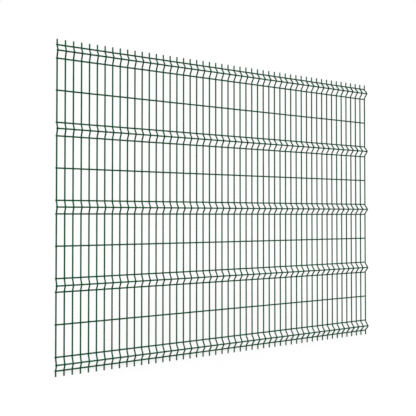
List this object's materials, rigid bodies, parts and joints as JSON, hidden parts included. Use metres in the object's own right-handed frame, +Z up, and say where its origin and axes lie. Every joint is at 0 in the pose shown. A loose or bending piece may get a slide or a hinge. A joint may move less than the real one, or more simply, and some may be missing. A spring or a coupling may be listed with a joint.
{
  "type": "welded mesh fence panel",
  "caption": "Welded wire mesh fence panel with a dark green coat, stiffened by V-shaped folds across it, with cut wire tips standing above and below.",
  "frame": {"origin": "middle of the foot, on the cut lower tip of the middle upright wire", "axes": "+X along the panel, -Y towards the side that the folds point to, +Z up the panel"},
  "size_m": [2.512, 0.0489, 2.084],
  "materials": {
    "green_coat": "satin moss green plastic coat over galvanised wire"
  },
  "bodies": {
    "root": {"left_mesh": "green_coat", "middle_mesh": "green_coat", "right_mesh": "green_coat"}
  },
  "joints": []
}
